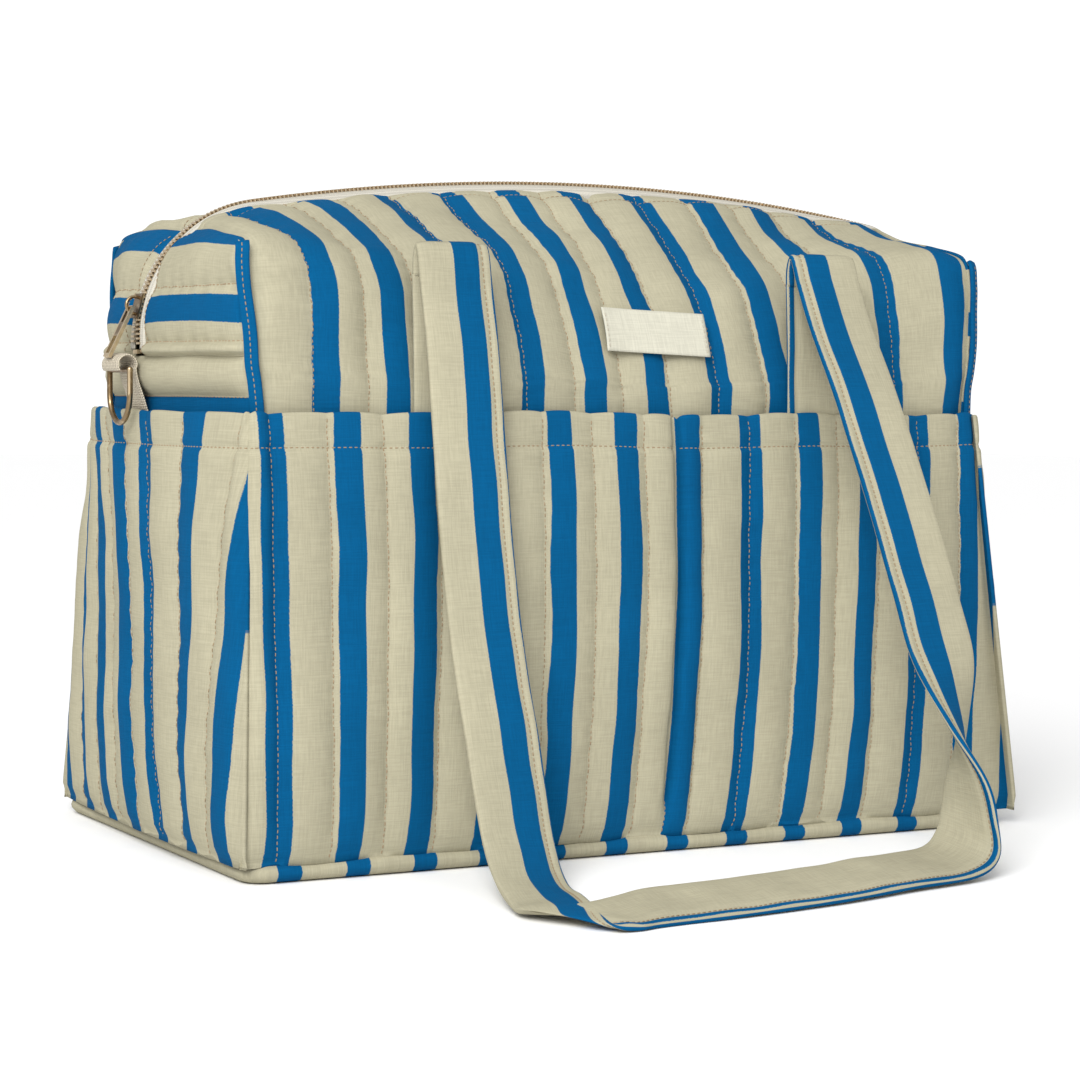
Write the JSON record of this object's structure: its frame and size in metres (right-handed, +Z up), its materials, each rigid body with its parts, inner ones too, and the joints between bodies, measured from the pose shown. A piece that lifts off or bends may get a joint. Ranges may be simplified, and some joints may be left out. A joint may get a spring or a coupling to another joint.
{
  "type": "quilted holdall bag",
  "caption": "Quilted striped cotton holdall with a zip over its crown, outer pockets all round, long shoulder straps and webbing tabs with D-rings at its ends.",
  "frame": {"origin": "middle of the base panel's underside, on the surface that the bag stands on", "axes": "+X to the bag's right as seen from its front, +Y to its back, +Z up"},
  "size_m": [0.5007, 0.6142, 0.3569],
  "materials": {
    "quilted_cotton": "matt sage linen-weave cotton printed with blue stripes, quilted",
    "blue_binding": "matt blue cotton binding",
    "cream_cotton": "matt cream ribbed cotton",
    "antique_brass": "aged brass, worn bright on its edges",
    "lining_cotton": "plain matt cotton"
  },
  "bodies": {
    "root": {"base_panel": "quilted_cotton", "front_panel": "quilted_cotton", "back_panel": "quilted_cotton", "left_end_lower": "quilted_cotton", "left_end_upper_front": "quilted_cotton", "left_end_upper_back": "quilted_cotton", "right_end_lower": "quilted_cotton", "right_end_upper_front": "quilted_cotton", "right_end_upper_back": "quilted_cotton", "front_left_binding": "blue_binding", "back_left_binding": "blue_binding", "front_right_binding": "blue_binding", "back_right_binding": "blue_binding", "front_pocket": "quilted_cotton", "back_pocket": "quilted_cotton", "left_pocket": "quilted_cotton", "right_pocket": "quilted_cotton", "zip_tape_front": "cream_cotton", "zip_tape_back": "cream_cotton", "zip_teeth_front": "antique_brass", "zip_teeth_back": "antique_brass", "zip_stops": "antique_brass", "left_tab": "cream_cotton", "right_tab": "cream_cotton", "label": "cream_cotton", "front_strap_left_end": "quilted_cotton", "front_strap_right_end": "quilted_cotton", "back_strap_left_end": "quilted_cotton", "back_strap_right_end": "quilted_cotton", "front_lining": "lining_cotton", "back_lining": "lining_cotton", "left_lining": "lining_cotton", "right_lining": "lining_cotton", "base_lining": "lining_cotton"},
    "zip_slider": {"zip_slider": "antique_brass"},
    "zip_puller": {"zip_puller": "antique_brass"},
    "left_ring": {"left_d_ring": "antique_brass"},
    "right_ring": {"right_d_ring": "antique_brass"},
    "front_strap": {"front_strap_loop": "quilted_cotton"},
    "back_strap": {"back_strap_loop": "quilted_cotton"}
  },
  "joints": [
    {"name": "zip_slide", "type": "hinge", "parent": "root", "child": "zip_slider", "pos_m": [-0.1578, 0, 0.2645], "axis": [0, 1, 0], "range_deg": [0, 60]},
    {"name": "puller_swing", "type": "hinge", "parent": "zip_slider", "child": "zip_puller", "pos_m": [-0.2375, 0, 0.2827], "axis": [0, 1, 0], "range_deg": [0, 140]},
    {"name": "left_ring_swing", "type": "hinge", "parent": "root", "child": "left_ring", "pos_m": [-0.2435, 0, 0.2503], "axis": [0, 1, 0], "range_deg": [0, 160]},
    {"name": "right_ring_swing", "type": "hinge", "parent": "root", "child": "right_ring", "pos_m": [0.2435, 0, 0.2503], "axis": [0, -1, 0], "range_deg": [0, 160]},
    {"name": "front_strap_lift", "type": "hinge", "parent": "root", "child": "front_strap", "pos_m": [0, -0.1163, 0.313], "axis": [-1, 0, 0], "range_deg": [0, 160]},
    {"name": "back_strap_lift", "type": "hinge", "parent": "root", "child": "back_strap", "pos_m": [0, 0.1163, 0.313], "axis": [1, 0, 0], "range_deg": [0, 160]}
  ]
}
